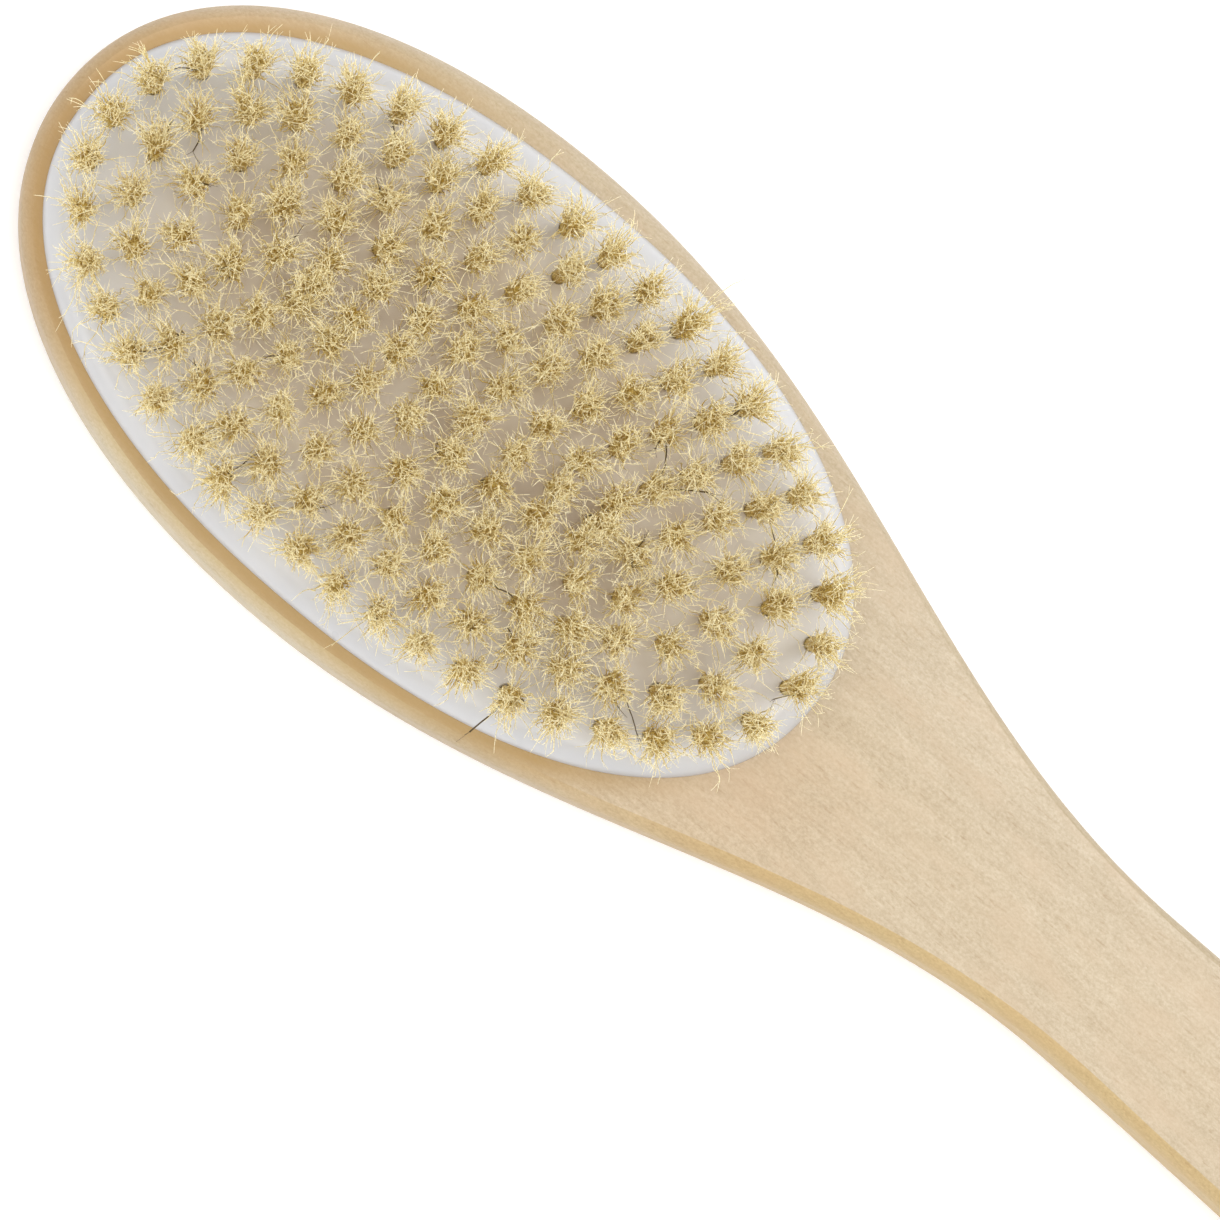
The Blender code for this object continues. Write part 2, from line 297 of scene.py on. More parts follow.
def painted_rim_shade(tree, place):
    """How much golden-brown painted shade the wood gets: most close round the plate, less beside
    its far half, and fading to none by its end toward the handle.
    """
    near = ramp(tree, plate_distance(tree, place), [(0.1, 1.0), (0.42, 0.0)])
    parts = add_node(tree, "ShaderNodeSeparateXYZ", Vector=place)
    tip = head_tip()
    past_front = between(tree, parts.outputs["X"], tip + 28 * MM, tip + 60 * MM)
    far_side = between(tree, parts.outputs["Y"], -8 * MM, 8 * MM)
    past_end = between(tree, parts.outputs["X"], tip + 105 * MM, tip + 125 * MM)
    pale = arithmetic(tree, "MULTIPLY", past_front, far_side)
    pale = arithmetic(tree, "MAXIMUM", arithmetic(tree, "MULTIPLY", pale, 0.9), past_end)
    kept = arithmetic(tree, "SUBTRACT", 1.0, pale)
    return arithmetic(tree, "MULTIPLY", arithmetic(tree, "MULTIPLY", near, 0.85), kept)


def wood_zones(tree, place, normal):
    """(share, tint) of the zones of the wood that are a little darker or paler than the rest:
    painted shade on the far edge along the handle and beside the plate's handle end on the near
    half, painted light on the head's near edge and on the far half, and warmer tints on the near
    edge along the handle and by the tip.
    """
    tip = head_tip()
    parts = add_node(tree, "ShaderNodeSeparateXYZ", Vector=place)
    x, y = parts.outputs["X"], parts.outputs["Y"]
    facing = add_node(tree, "ShaderNodeSeparateXYZ", Vector=normal).outputs["Y"]
    near_side = between(tree, facing, -0.2, -0.4)
    far_side = between(tree, facing, 0.2, 0.34)
    along_handle = between(tree, x, tip + 95 * MM, tip + 135 * MM)
    # The stretch of the head whose near edge gets painted light
    past_tip = between(tree, x, tip + 16 * MM, tip + 34 * MM)
    before_neck = between(tree, x, tip + 96 * MM, tip + 70 * MM)
    lit_span = arithmetic(tree, "MULTIPLY", past_tip, before_neck)
    # Painted shade beside the plate's handle end, on the near half
    shade_by_plate = between(tree, plate_distance(tree, place), 2.4, 0.6)
    shade_by_plate = arithmetic(tree, "MULTIPLY", shade_by_plate, along_handle)
    near_half = between(tree, y, 1 * MM, -12 * MM)
    return (
        (arithmetic(tree, "MULTIPLY", near_side, along_handle), WOOD_SIDE),
        # painted shade on the far edge along the handle
        (arithmetic(tree, "MULTIPLY", far_side, along_handle), WOOD_SHADED_FAR_EDGE),
        # painted light on the head's near edge
        (arithmetic(tree, "MULTIPLY", near_side, lit_span), WOOD_LIT_NEAR_EDGE),
        # painted shade beside the plate
        (arithmetic(tree, "MULTIPLY", shade_by_plate, near_half), WOOD_SHADE_BY_PLATE),
        # painted light on the far half
        (between(tree, y, 1 * MM, 14 * MM), WOOD_LIT_FAR_HALF),
        (between(tree, x, tip + 34 * MM, tip + 14 * MM), WOOD_BY_TIP),
    )


def head_tip():
    """Where along X the head's tip is."""
    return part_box("wooden_body")[0][0]


def plate_oval(tree, place):
    """How far out a point lies, as a share of the plate's outline, and its reach in metres."""
    local = add_node(tree, "ShaderNodeMapping", {"vector_type": "TEXTURE"}, Vector=place)
    local.inputs["Location"].default_value = plate_centre()
    local.inputs["Rotation"].default_value = (0.0, 0.0, math.radians(PLATE_TURN))
    parts = add_node(tree, "ShaderNodeSeparateXYZ", Vector=local.outputs["Vector"])
    x, y = parts.outputs["X"], parts.outputs["Y"]
    terms = []
    for value, half in ((x, PLATE_HALF_LENGTH), (y, PLATE_HALF_WIDTH)):
        share = arithmetic(tree, "ABSOLUTE", arithmetic(tree, "DIVIDE", value, half))
        terms.append(arithmetic(tree, "POWER", share, PLATE_SQUARENESS))
    total = arithmetic(tree, "ADD", *terms)
    oval = arithmetic(tree, "POWER", total, 1 / PLATE_SQUARENESS)
    squares = [arithmetic(tree, "MULTIPLY", value, value) for value in (x, y)]
    radius = arithmetic(tree, "SQRT", arithmetic(tree, "ADD", *squares))
    return oval, radius


def plate_distance(tree, place):
    """How far a point lies outside the plate's outline, from 0 on it to 1 at 10 mm."""
    oval, radius = plate_oval(tree, place)
    outside = arithmetic(tree, "SUBTRACT", oval, 1.0)
    reach = arithmetic(tree, "MULTIPLY", arithmetic(tree, "DIVIDE", outside, oval), radius)
    return arithmetic(tree, "DIVIDE", reach, 10 * MM)


def plastic_material():
    """White satin plastic with a fine moulded texture, warm and patchy among the bristles."""
    material, tree, shader = new_material("white_plastic")
    place = add_node(tree, "ShaderNodeTexCoord").outputs["Object"]
    clouds = add_noise(tree, place, 60.0, 3.0)
    grain = add_noise(tree, place, 2600.0, 2.0)
    colour = ramp(tree, clouds, [(0.3, (0.570, 0.569, 0.580)), (0.7, (0.608, 0.607, 0.616))])
    # Toward the plate's middle among the bristles the colour turns a patchy warm beige, with less
    # of it toward the neck end
    oval, _ = plate_oval(tree, place)
    parts = add_node(tree, "ShaderNodeSeparateXYZ", Vector=place)
    tip = head_tip()
    by_neck = between(tree, parts.outputs["X"], tip + 96 * MM, tip + 126 * MM)
    oval = arithmetic(tree, "SUBTRACT", oval, arithmetic(tree, "MULTIPLY", by_neck, 0.14))
    warm_middle = ramp(tree, oval, [(0.52, 1.0), (0.9, 0.0)])
    patches = add_noise(tree, place, 150.0, 2.0)
    warm_patches = ramp(tree, patches, [(0.35, (0.56, 0.475, 0.365)), (0.65, (0.68, 0.615, 0.51))])
    colour = mix_colour(tree, warm_middle, colour, warm_patches)
    tree.links.new(colour, shader.inputs["Base Color"])
    gloss = ramp(tree, clouds, [(0.35, 0.26), (0.7, 0.38)])
    tree.links.new(gloss, shader.inputs["Roughness"])
    add_bump(tree, shader, grain, 0.02 * MM, 0.25)
    return material


def bristle_material():
    """Natural bristle, golden to straw with a cream tip.

    Its faint glow stands in for the light that passes through real bristles.
    """
    material, tree, shader = new_material("bristle")
    along = add_node(tree, "ShaderNodeAttribute", {"attribute_name": "along"}).outputs["Fac"]
    tone = add_node(tree, "ShaderNodeAttribute", {"attribute_name": "tone"}).outputs["Fac"]
    dark = add_node(tree, "ShaderNodeAttribute", {"attribute_name": "dark"}).outputs["Fac"]
    place = add_node(tree, "ShaderNodeTexCoord").outputs["Object"]
    body = ramp(tree, tone, BRISTLE_TONES)
    tip = ramp(tree, along, [(0.66, 0.0), (0.93, 0.9)])
    colour = mix_colour(tree, tip, body, BRISTLE_TIP)
    threads = add_noise(tree, stretched(tree, place, (5200, 5200, 500)), 1.0, 2.0)
    mottle = ramp(tree, threads, [(0.36, (0.72, 0.60, 0.42)), (0.52, (1.02, 1.02, 1.02))])
    colour = mix_colour(tree, 0.85, colour, mottle, "MULTIPLY")
    colour = mix_colour(tree, dark, colour, BRISTLE_DARK)
    tree.links.new(colour, shader.inputs["Base Color"])
    shine = ramp(tree, add_noise(tree, place, 500.0, 2.0), [(0.3, 0.34), (0.7, 0.5)])
    tree.links.new(shine, shader.inputs["Roughness"])
    shader.inputs["Specular IOR Level"].default_value = 0.3
    shader.inputs["Emission Color"].default_value = BRISTLE_GLOW
    glow = ramp(tree, along, [(0.0, 0.085), (0.7, 0.05), (0.9, 0.07)])
    tree.links.new(glow, shader.inputs["Emission Strength"])
    material.cycles.emission_sampling = "NONE"
    return material


def glue_material():
    material, tree, shader = new_material("hard_glue")
    place = add_node(tree, "ShaderNodeTexCoord").outputs["Object"]
    clouds = add_noise(tree, place, 120.0, 3.0)
    colour = ramp(tree, clouds, [(0.3, (0.50, 0.40, 0.22)), (0.7, (0.62, 0.53, 0.34))])
    tree.links.new(colour, shader.inputs["Base Color"])
    shader.inputs["Roughness"].default_value = 0.45
    add_bump(tree, shader, clouds, 0.2 * MM, 0.5)
    return material


def floor_material():
    material, tree, shader = new_material("pale_floor")
    place = add_node(tree, "ShaderNodeTexCoord").outputs["Object"]
    clouds = add_noise(tree, place, 3.0, 2.0)
    colour = ramp(tree, clouds, [(0.3, 0.93), (0.7, 0.94)])
    tree.links.new(colour, shader.inputs["Base Color"])
    shader.inputs["Roughness"].default_value = 0.8
    shader.inputs["Specular IOR Level"].default_value = 0.2
    shader.inputs["Emission Color"].default_value = (1.0, 1.0, 1.0, 1.0)
    shader.inputs["Emission Strength"].default_value = 0.15
    return material


# Meshes


def add_object(name, mesh, material):
    obj = bpy.data.objects.new(name, mesh)
    bpy.context.scene.collection.objects.link(obj)
    mesh.materials.append(material)
    return obj


def object_from_bmesh(name, bm, material):
    bmesh.ops.recalc_face_normals(bm, faces=bm.faces)
    mesh = bpy.data.meshes.new(name)
    bm.to_mesh(mesh)
    bm.free()
    return add_object(name, mesh, material)


def shade_round(mesh, sharp_angle):
    mesh.shade_smooth()
    mesh.set_sharp_from_angle(angle=math.radians(sharp_angle))


def cut_away(obj, cutter):
    """Cuts the cutter out of the object for good, and removes the cutter."""
    modifier = obj.modifiers.new("cut", "BOOLEAN")
    modifier.operation = "DIFFERENCE"
    modifier.solver = "EXACT"
    modifier.object = cutter
    bpy.context.view_layer.update()
    graph = bpy.context.evaluated_depsgraph_get()
    mesh = bpy.data.meshes.new_from_object(obj.evaluated_get(graph))
    obj.modifiers.clear()
    obj.data = mesh
    bpy.data.objects.remove(cutter)


def skin_loops(bm, loops):
    """Joins each loop of points to the next one, and closes both ends."""
    rings = [[bm.verts.new(point) for point in loop] for loop in loops]
    for lower, upper in zip(rings, rings[1:]):
        for step, vertex in enumerate(lower):
            following = (step + 1) % len(lower)
            bm.faces.new((vertex, lower[following], upper[following], upper[step]))
    bm.faces.new(rings[0])
    return bm.faces.new(rings[-1])


# Wooden body


def body_outline(low, high):
    """Points along the outline, from the head's tip round the +Y side and back."""
    length = high.x - low.x
    half_width = (high.y - low.y) / 2
    forward = Vector((1, 0, 0))
    left = Vector((0, 1, 0))
    upper = [
        (HEAD_WIDEST_AT, half_width, HEAD_FRONT_SWEEP, HEAD_BACK_SWEEP),
        (NECK_AT, NECK_HALF_WIDTH, NECK_FRONT_SWEEP, NECK_BACK_SWEEP),
        (GRIP_AT, GRIP_HALF_WIDTH, GRIP_SWEEP, GRIP_SWEEP),
    ]
    knots = [(Vector((0, 0, 0)), left, HEAD_TIP_ROUNDNESS, HEAD_TIP_ROUNDNESS)]
    for x, y, back, ahead in upper:
        knots.append((Vector((x, y, 0)), forward, back, ahead))
    end = Vector((length, 0, 0))
    knots.append((end, -left, HANDLE_END_ROUNDNESS, HANDLE_END_ROUNDNESS))
    for x, y, back, ahead in reversed(upper):
        knots.append((Vector((x, -y, 0)), -forward, ahead, back))
    points = []
    for here, there in zip(knots, knots[1:] + knots[:1]):
        for step in range(OUTLINE_STEPS):
            t = step / OUTLINE_STEPS
            leaving = here[0] + here[1] * here[3]
            arriving = there[0] - there[1] * there[2]
            point = (
                here[0] * (1 - t) ** 3
                + leaving * 3 * t * (1 - t) ** 2
                + arriving * 3 * t**2 * (1 - t)
                + there[0] * t**3
            )
            points.append(Vector((low.x + point.x, point.y, 0)))
    return points


def inward_normals(points):
    normals = []
    for index, point in enumerate(points):
        along = points[(index + 1) % len(points)] - points[index - 1]
        normals.append(Vector((along.y, -along.x, 0)).normalized())
    return normals


def edge_profile():
    """(inset, drop) pairs round a worked edge, from the face's crisp line to the side."""
    start = math.radians(EDGE_START_ANGLE)
    pairs = []
    for step in range(EDGE_STEPS + 1):
        turn = start + (math.pi / 2 - start) * step / EDGE_STEPS
        inset = EDGE_CIRCLE * (1 - math.sin(turn))
        drop = EDGE_CIRCLE * (math.cos(start) - math.cos(turn))
        pairs.append((inset, drop))
    return pairs


def far_edge_width(point, inward, tip):
    """How wide the worked edge is here: narrower along the handle's far side."""
    along = min(max((point.x - tip - FAR_EDGE_FROM) / FAR_EDGE_FADE, 0), 1)
    far = min(max(-inward.y / 0.5, 0), 1)
    return 1 - (1 - FAR_EDGE_SHARE) * along * far


def make_wooden_body(wood):
    low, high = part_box("wooden_body")
    low, high = Vector(low), Vector(high)
    points = body_outline(low, high)
    normals = inward_normals(points)
    profile = edge_profile()
    levels = [(inset, high.z - drop) for inset, drop in profile]
    levels += [(inset, low.z + drop) for inset, drop in reversed(profile)]
    loops = []
    for inset, z in levels:
        loop = []
        for point, normal in zip(points, normals):
            wander = noise.noise(point * EDGE_WANDER_SCALE + Vector((0, 0, z * 40)))
            share = inset / profile[0][0]
            width = inset * far_edge_width(point, normal, low.x)
            place = point + normal * (width + EDGE_WANDER * wander * share)
            loop.append((place.x, place.y, z))
        loops.append(loop)
    bm = bmesh.new()
    skin_loops(bm, loops)
    body = object_from_bmesh("wood_body", bm, wood)
    cut_away(body, recess_cutter(high.z, wood))
    shade_round(body.data, 20)
    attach(body, "root")
    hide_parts("wooden_body")
    return body


def recess_cutter(face_z, material):
    """The plate's recess, with the face dished a little all round it.

    Its wall overlaps the plate a little, so that no dark gap shows between them.
    """
    levels = [(-RECESS_OVERLAP, face_z - RECESS_DEPTH)]
    for step in range(DISH_STEPS + 1):
        share = step / DISH_STEPS
        out = DISH_WIDTH * share - RECESS_OVERLAP
        levels.append((out, face_z - DISH_DEPTH * (1 - share) ** 2))
    levels.append((DISH_WIDTH - RECESS_OVERLAP, face_z + DISH_DEPTH))
    loops = [oval_loop(-out, z) for out, z in levels]
    bm = bmesh.new()
    skin_loops(bm, loops)
    return object_from_bmesh("recess_cutter", bm, material)


# Plate


def plate_centre():
    """The plate's centre, on the XY plane."""
    low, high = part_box("bristle_plate")
    return Vector(((low[0] + high[0]) / 2, (low[1] + high[1]) / 2, 0))


def oval_loop(inset, z, scale=1.0):
    """Points of the plate's outline moved in by inset, closer together round its ends."""
    turn = Matrix.Rotation(math.radians(PLATE_TURN), 3, "Z")
    middle = plate_centre() + Vector((0, 0, z))
    half_length = (PLATE_HALF_LENGTH - inset) * scale
    half_width = (PLATE_HALF_WIDTH - inset) * scale
    power = 2 / PLATE_SQUARENESS
    points = []
    for step in range(PLATE_SIDES):
        angle = math.tau * step / PLATE_SIDES
        x = math.copysign(abs(math.cos(angle)) ** power, math.cos(angle)) * half_length
        y = math.copysign(abs(math.sin(angle)) ** power, math.sin(angle)) * half_width
        points.append(middle + turn @ Vector((x, y, 0)))
    return points


def make_plate(tufts, plastic):
    low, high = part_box("bristle_plate")
    rim_z = high[2] - PLATE_DOME
    loops = [oval_loop(0, low[2])]
    start = math.radians(PLATE_ROUND_START)
    for step in range(PLATE_ROUND_STEPS + 1):
        turn = start + (math.pi / 2 - start) * step / PLATE_ROUND_STEPS
        inset = PLATE_ROUND_WIDTH * (1 - math.cos(turn) / math.cos(start))
        z = rim_z - PLATE_ROUND_HEIGHT * (1 - math.sin(turn)) / (1 - math.sin(start))
        loops.append(oval_loop(inset, z))
    for step in range(PLATE_DOME_STEPS - 1, 0, -1):
        scale = step / PLATE_DOME_STEPS
        z = rim_z + PLATE_DOME * (1 - scale**2)
        loops.append(oval_loop(PLATE_ROUND_WIDTH, z, scale))
    bm = bmesh.new()
    top = skin_loops(bm, loops)
    peak = bmesh.ops.poke(bm, faces=[top])["verts"][0]
    peak.co.z = high[2]
    plate = object_from_bmesh("white_plate", bm, plastic)
    cut_away(plate, hole_cutter(tufts, plastic))
    shade_round(plate.data, 35)
    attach(plate, "root")
    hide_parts("bristle_plate")


def hole_cutter(tufts, material):
    """Round blind holes, each widened a little at its mouth, and square to the plate."""
    bm = bmesh.new()
    levels = [
        (HOLE_RADIUS, -HOLE_DEPTH),
        (HOLE_RADIUS, -HOLE_CHAMFER),
        (HOLE_RADIUS + 2 * HOLE_CHAMFER, HOLE_CHAMFER),
    ]
    for base, axis in tufts:
        turn = Matrix.Translation(base) @ axis.to_track_quat("Z", "Y").to_matrix().to_4x4()
        loops = []
        for radius, height in levels:
            loop = []
            for side in range(HOLE_SIDES):
                angle = math.tau * side / HOLE_SIDES
                local = Vector((math.cos(angle) * radius, math.sin(angle) * radius, height))
                loop.append(turn @ local)
            loops.append(loop)
        skin_loops(bm, loops)
    return object_from_bmesh("hole_cutter", bm, material)


# Bristles


def tufts_of(node, plate_top_z):
    """(base, axis) of each tuft in a CAD strip, read from the strip's own solid.

    A strip's points just above the plate are the feet of its bunches, and its highest
    points are their ends.
    """
    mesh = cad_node(node).data
    points = [vertex.co.copy() for vertex in mesh.vertices]
    lowest_end = max(point.z for point in points) - END_DEPTH
    feet = []
    for point in points:
        if not plate_top_z - 1.5 * PLATE_DOME < point.z < plate_top_z + 0.1 * MM:
            continue
        near = [foot for foot in feet if (foot[0] - point).length < FOOT_REACH]
        if near:
            near[0].append(point)
        else:
            feet.append([point])
    tufts = []
    for foot in feet:
        base = middle_of(foot)
        ends = [
            point
            for point in points
            if point.z > lowest_end and (point.xy - base.xy).length < END_REACH
        ]
        tufts.append((base, (middle_of(ends) - base).normalized()))
    return tufts


def middle_of(points):
    """The middle of a bunch's corners, each place counted once."""
    places = {tuple(round(value / (0.01 * MM)) for value in point) for point in points}
    return Vector(np.mean(sorted(places), axis=0) * 0.01 * MM)


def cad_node(name):
    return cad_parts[name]


def unit(vectors):
    return vectors / np.linalg.norm(vectors, axis=-1, keepdims=True)


def turned_to(up, side, across, angle):
    """Unit vectors square to up, at these angles round it."""
    return np.cos(angle)[:, None] * side + np.sin(angle)[:, None] * across


def bristle_steps():
    """Shares of a bristle's length at which it is bent, closer together toward its tip."""
    return 1 - (1 - np.linspace(0, 1, BRISTLE_POINTS)) ** STEP_CROWDING


def sides_of(axis):
    """A tuft's own directions: up along it and two square to that."""
    up = np.array(axis)
    side = unit(np.cross(up, (0.0, 1.0, 0.0)))
    return up, side, np.cross(up, side)


def bristle_paths(base, axis, lean, fan, draw):
    """One tuft's bristles: their paths (bristle, point, xyz), looseness, darkness and height."""
    count = round(BRISTLES_PER_TUFT * draw.uniform(0.85, 1.15))
    up, side, across = sides_of(axis)
    spread = draw.uniform(0.8, 1.25)
    share = np.sqrt(draw.random(count))
    turn = draw.random(count) * math.tau
    outward = turned_to(up, side, across, turn)
    root = np.array(base) - up * TUFT_ROOT_DEPTH + outward * (share * TUFT_ROOT_RADIUS)[:, None]
    flare = outward * (share * TUFT_FLARE * spread)[:, None]
    scatter = draw.normal(0, BRISTLE_SCATTER * spread, (count, 2))
    long_way = turned_to(up, side, across, draw.random(1) * math.tau)
    along_way = scatter[:, :1] * long_way * draw.uniform(1, 2)
    scatter = along_way + scatter[:, 1:] * np.cross(up, long_way)
    clump = (turn / math.tau * CLUMPS_PER_TUFT).astype(int)
    clump_turn = math.tau * (np.arange(CLUMPS_PER_TUFT) + 0.5) / CLUMPS_PER_TUFT
    clump_turn += draw.normal(0, 0.5, CLUMPS_PER_TUFT)
    clump_reach = draw.uniform(0.3, 1.9, CLUMPS_PER_TUFT) * MM
    loose_turn = clump_turn[clump] + draw.normal(0, 0.22, count)
    loose_side = turned_to(up, side, across, loose_turn)
    kind = draw.random(count)
    is_loose = kind < LOOSE_SHARE
    is_stray = kind > 1 - STRAY_SHARE
    loose = np.where(is_loose, clump_reach[clump] * draw.uniform(0.5, 1.25, count), 0)
    fanned = draw.uniform(0, 0.3, count) + np.where(is_loose, draw.uniform(0, 0.9, count), 0)
    is_dark = draw.random(count) < DARK_SHARE
    lies_across = is_dark & (draw.random(count) < ACROSS_SHARE)
    stray = np.where(is_stray, draw.uniform(2, 5, count), 0) * MM
    stray = np.where(lies_across, draw.uniform(1.5, 4.5, count) * MM, stray)
    stray_power = np.where(lies_across, draw.uniform(8, 14, count), draw.uniform(2, 4, count))
    is_short = draw.random(count) < SHORT_SHARE
    height = np.where(is_short, draw.uniform(0.55, 0.93, count), draw.uniform(0.93, 1.02, count))
    length = (BRISTLE_LENGTH + TUFT_ROOT_DEPTH) * height
    wave_side = turned_to(up, side, across, draw.random(count) * math.tau)
    other_side = np.cross(up, wave_side)
    wave_size = draw.uniform(0.08, 0.34, count) * MM
    wave_rate = draw.uniform(2.0, 5.0, count) * math.tau
    wave_phase = draw.random((count, 2)) * math.tau
    paths = np.zeros((count, BRISTLE_POINTS, 3))
    for index, step in enumerate(bristle_steps()):
        reach = flare * step**2.4 + lean * step**LEAN_CURVE + scatter * step**2.2
        reach = reach + loose_side * (loose * step**4 + stray * step**stray_power)[:, None]
        reach = reach + fan * (fanned * step**3)[:, None]
        swing = np.sin(wave_rate * step + wave_phase[:, 0]) * wave_size * step**2
        other = np.sin(wave_rate * 0.8 * step + wave_phase[:, 1]) * wave_size * step**2
        reach = reach + wave_side * swing[:, None] + other_side * other[:, None]
        aside = (reach**2).sum(1)
        rise = np.sqrt(np.maximum((length * step) ** 2 - aside, 0.25 * (length * step) ** 2))
        paths[:, index] = root + reach + up * rise[:, None]
    looseness = np.where(is_stray, 1.0, np.where(is_loose, 0.6, 0.0))
    return paths, np.where(is_dark, -0.9, looseness), is_dark.astype(float), height


def core_of(base, axis, lean, fan, draw):
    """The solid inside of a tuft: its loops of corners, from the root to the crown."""
    up, side, across = sides_of(axis)
    root = np.array(base) - up * TUFT_ROOT_DEPTH
    whole = BRISTLE_LENGTH + TUFT_ROOT_DEPTH
    loops = []
    for share, radius in CORE_PROFILE:
        angle = math.tau * np.arange(CORE_SIDES) / CORE_SIDES
        reach = radius + draw.normal(0, CORE_LUMPS, CORE_SIDES) * share
        rise = share * whole + draw.normal(0, 2.5 * CORE_LUMPS, CORE_SIDES) * share**4
        out = turned_to(up, side, across, angle) * reach[:, None]
        out = out + lean * share**LEAN_CURVE + fan * CORE_FAN_SHARE * share**3
        loops.append(root + up * rise[:, None] + out)
    return np.array(loops)


def skin_cores(cores):
    """Corners, faces and shares along the tuft of all cores, each closed at both ends."""
    levels = len(CORE_PROFILE)
    size = levels * CORE_SIDES
    step = np.arange(CORE_SIDES)
    following = (step + 1) % CORE_SIDES
    faces = []
    for number in range(len(cores)):
        for level in range(levels - 1):
            low = number * size + level * CORE_SIDES
            high = low + CORE_SIDES
            quads = (low + step, low + following, high + following, high + step)
            faces += np.stack(quads, 1).tolist()
        faces.append((number * size + step[::-1]).tolist())
        faces.append((number * size + size - CORE_SIDES + step).tolist())
    shares = np.repeat([share for share, _ in CORE_PROFILE], CORE_SIDES)
    return np.concatenate(cores).reshape(-1, 3), faces, np.tile(shares, len(cores))


def split_paths(paths, draw):
    """Short fine hairs that part from each bristle near its tip."""
    paths = np.repeat(paths, SPLITS_PER_BRISTLE, axis=0)
    count = len(paths)
    ahead = unit(paths[:, -1] - paths[:, -2])
    part = draw.random(count)[:, None]
    start = paths[:, -1] * part + paths[:, -2] * (1 - part)
    side = unit(np.cross(ahead, (0.2, 0.9, 0.3)))
    across = np.cross(ahead, side)
    turn = draw.random(count) * math.tau
    away = np.cos(turn)[:, None] * side + np.sin(turn)[:, None] * across
    open_angle = np.radians(draw.uniform(10, 65, count))
    length = draw.uniform(0.7, 2.8, count) * MM
    splits = np.zeros((count, SPLIT_POINTS, 3))
    place = start
    splits[:, 0] = place
    for index in range(1, SPLIT_POINTS):
        opened = open_angle * (0.5 + 0.5 * index / SPLIT_POINTS)
        direction = ahead * np.cos(opened)[:, None] + away * np.sin(opened)[:, None]
        place = place + direction * (length / (SPLIT_POINTS - 1))[:, None]
        splits[:, index] = place
    return splits


def tubes(paths, root_radius, tip_radius, widths):
    """Corners and faces of a three-sided tapered tube along every path, closed at its ends."""
    count, points, _ = paths.shape
    tangents = unit(np.gradient(paths, axis=1))
    normal = unit(np.cross(tangents[:, 0], (0.3, 0.9, 0.1)))
    steps = np.linspace(0, 1, points)
    radii = root_radius + (tip_radius - root_radius) * steps**3
    corners = np.zeros((count, points, 3, 3))
    for index in range(points):
        along = tangents[:, index]
        normal = unit(normal - (normal * along).sum(1, keepdims=True) * along)
        other = np.cross(along, normal)
        for side in range(3):
            turn = math.tau * side / 3
            offset = normal * math.cos(turn) + other * math.sin(turn)
            corners[:, index, side] = paths[:, index] + offset * (radii[index] * widths)[:, None]
    start = np.arange(count)[:, None, None, None] * points * 3
    ring = np.arange(points - 1)[None, :, None, None] * 3
    side = np.arange(3)[None, None, :, None]
    following = (side + 1) % 3
    quads = np.concatenate(
        [side + ring, following + ring, following + ring + 3, side + ring + 3], axis=3
    )
    quads = (quads + start).reshape(-1, 4)
    first = np.arange(count)[:, None] * points * 3
    roots = first + np.array([[2, 1, 0]])
    tips = first + (points - 1) * 3 + np.array([[0, 1, 2]])
    return corners.reshape(-1, 3), quads.tolist() + roots.tolist() + tips.tolist()


def bristle_mesh(name, paths, looseness, dark, height, cores, draw):
    """Every bristle of a strip with its split ends, and what its colour goes by."""
    count = len(paths)
    tone = np.clip(draw.normal(0.25, 0.2, count) + 0.6 * looseness, 0, 1)
    splits = split_paths(paths, draw)
    widths = draw.uniform(0.75, 1.25, count) * (1 - 0.25 * looseness)
    split_widths = draw.uniform(0.7, 1.3, len(splits))
    corners, faces = tubes(paths, BRISTLE_RADIUS, BRISTLE_TIP_RADIUS, widths)
    fine_corners, fine_faces = tubes(splits, SPLIT_RADIUS, SPLIT_TIP_RADIUS, split_widths)
    core_corners, core_faces, core_along = skin_cores(cores)
    shift = len(corners)
    faces += [[corner + shift for corner in face] for face in fine_faces]
    shift += len(fine_corners)
    faces += [[corner + shift for corner in face] for face in core_faces]
    mesh = bpy.data.meshes.new(name)
    mesh.from_pydata(np.concatenate([corners, fine_corners, core_corners]).tolist(), [], faces)
    along = np.repeat(height[:, None] * bristle_steps(), 3)
    fine_along = np.repeat(height, SPLITS_PER_BRISTLE * SPLIT_POINTS * 3)
    add_attribute(mesh, "along", np.concatenate([along, fine_along, core_along]))
    split_tone = np.clip(tone + 0.35, 0, 1)
    for trait, values, split_values, core_value in (
        # The core's tone of 0.1 gives it a darker gold than most bristles: painted shade of the
        # tuft's packed inside
        ("tone", tone, split_tone, 0.1),
        ("dark", dark, dark, 0),
    ):
        whole = np.repeat(values, BRISTLE_POINTS * 3)
        fine = np.repeat(split_values, SPLITS_PER_BRISTLE * SPLIT_POINTS * 3)
        core = np.full(len(core_corners), core_value)
        add_attribute(mesh, trait, np.concatenate([whole, fine, core]))
    mesh.shade_smooth()
    return mesh


def add_attribute(mesh, name, values):
    attribute = mesh.attributes.new(name, "FLOAT", "POINT")
    attribute.data.foreach_set("value", np.asarray(values, np.float32))


def fan_of(base):
    """How far a tuft's loose bristles spread away from the plate's middle."""
    out = np.array(base - plate_centre())
    share = out / (PLATE_HALF_LENGTH, PLATE_HALF_WIDTH, 1)
    share[2] = out[2] = 0
    return unit(share) * TUFT_FAN * np.linalg.norm(share) ** 2


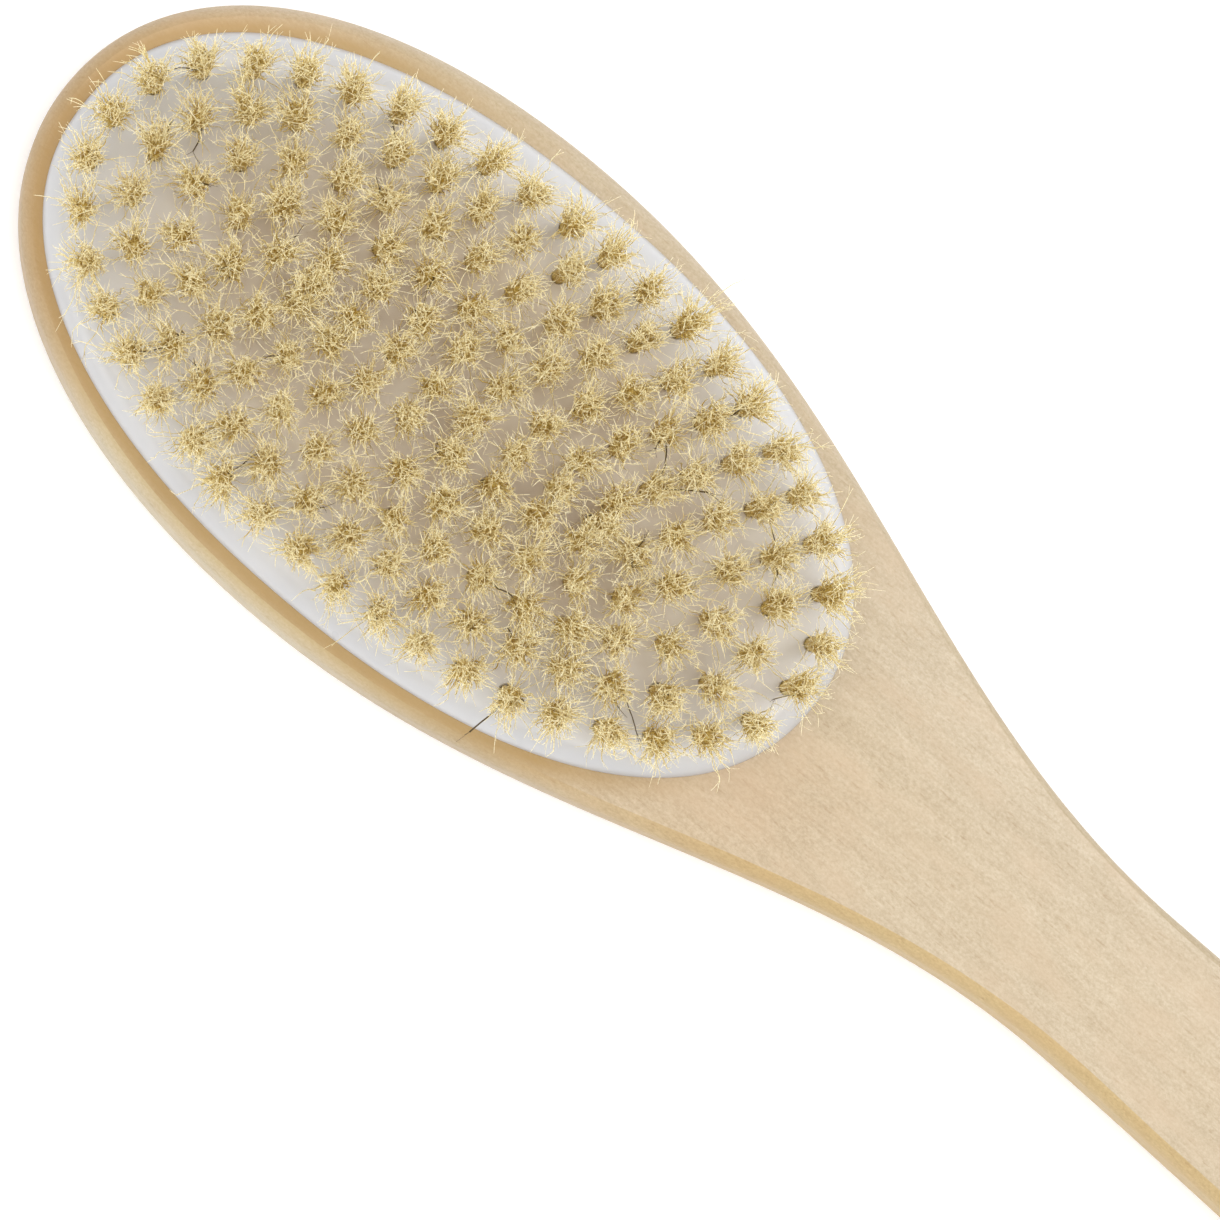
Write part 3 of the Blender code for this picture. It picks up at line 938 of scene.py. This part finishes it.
def make_bristles(strips, bristle):
    draw = np.random.default_rng(SEED)
    for node, tufts in strips.items():
        grown, cores = [], []
        for base, dome_axis in tufts:
            axis = unit(np.array(dome_axis) * TUFT_SPLAY + np.array((0, 0, 1 - TUFT_SPLAY)))
            _, side, across = sides_of(axis)
            lean = (side * draw.normal(0, 0.6) + across * draw.normal(1.5, 0.6)) * TUFT_LEAN
            fan = fan_of(base)
            grown.append(bristle_paths(base, axis, lean, fan, draw))
            cores.append(core_of(base, axis, lean, fan, draw))
        name = node.replace("tuft_strip", "bristles")
        joined = [np.concatenate(values) for values in zip(*grown)]
        mesh = bristle_mesh(name, *joined, cores, draw)
        piece = add_object(name, mesh, bristle)
        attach(piece, "root")
        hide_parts(node)


# Stage


def make_floor():
    bm = bmesh.new()
    below = Matrix.Translation((0, 0, -FLOOR_GAP))
    bmesh.ops.create_grid(bm, x_segments=1, y_segments=1, size=3.0, matrix=below)
    floor = object_from_bmesh("floor", bm, floor_material())


def make_light(name, place, target, size, power):
    data = bpy.data.lights.new(name, "AREA")
    data.shape = "DISK"
    data.size = size
    data.energy = power
    light = bpy.data.objects.new(name, data)
    light.location = place
    light.rotation_euler = (target - Vector(place)).to_track_quat("-Z", "Y").to_euler()
    bpy.context.scene.collection.objects.link(light)


def make_lights(target):
    make_light("top_light", (0.0, 0.0, 1.9), target, 1.6, 30)
    make_light("front_light", (-0.9, -1.2, 1.0), target, 1.0, 6.5)
    make_light("back_light", (0.7, 1.3, 0.9), target, 1.0, 9)
    world = bpy.data.worlds.new("studio")
    world.use_nodes = True
    background = world.node_tree.nodes["Background"]
    background.inputs["Color"].default_value = (1.0, 1.0, 1.0, 1.0)
    background.inputs["Strength"].default_value = 0.5
    bpy.context.scene.world = world


def make_camera(low, face_z):
    plate_middle = plate_centre()
    target = Vector((low.x + FRAME_CENTRE_FROM_TIP, FRAME_CENTRE_Y, face_z))
    place = Vector((plate_middle.x, plate_middle.y, face_z))
    place.x -= CAMERA_DISTANCE * math.tan(math.radians(CAMERA_TIP_TILT))
    place.y -= CAMERA_DISTANCE * math.tan(math.radians(CAMERA_SIDE_TILT))
    place.z += CAMERA_DISTANCE
    back = (place - target).normalized()
    roll = math.radians(CAMERA_ROLL)
    right = Vector((math.cos(roll), math.sin(roll), 0))
    right = (right - back * right.dot(back)).normalized()
    up = back.cross(right)
    data = bpy.data.cameras.new("camera")
    data.sensor_width = SENSOR_WIDTH
    data.lens = SENSOR_WIDTH * (place - target).length / FRAME_WIDTH
    data.clip_start = 0.05
    data.clip_end = 20
    camera = bpy.data.objects.new("camera", data)
    axes = Matrix((right, up, back)).transposed().to_4x4()
    camera.matrix_world = Matrix.Translation(place) @ axes
    bpy.context.scene.collection.objects.link(camera)
    bpy.context.scene.camera = camera


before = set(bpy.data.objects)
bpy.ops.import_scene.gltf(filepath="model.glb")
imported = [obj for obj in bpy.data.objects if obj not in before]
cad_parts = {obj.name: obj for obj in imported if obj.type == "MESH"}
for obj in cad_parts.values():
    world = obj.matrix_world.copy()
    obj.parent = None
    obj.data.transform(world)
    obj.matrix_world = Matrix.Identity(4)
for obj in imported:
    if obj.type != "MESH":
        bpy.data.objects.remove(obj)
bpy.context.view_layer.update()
bpy.context.scene.view_settings.view_transform = "Standard"
body_low = Vector(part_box("wooden_body")[0])
face_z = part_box("wooden_body")[1][2]
plate_top_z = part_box("bristle_plate")[1][2]
make_camera(body_low, face_z)
make_lights(Vector((body_low.x + FRAME_CENTRE_FROM_TIP, 0, face_z)))
make_floor()
strips = {
    node: tufts_of(node, plate_top_z)
    for node in sorted(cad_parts)
    if node.startswith("tuft_strip")
}
make_wooden_body(wood_material())
make_plate([tuft for tufts in strips.values() for tuft in tufts], plastic_material())
make_bristles(strips, bristle_material())
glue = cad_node("glue_bed")
glue.data.materials.clear()
glue.data.materials.append(glue_material())
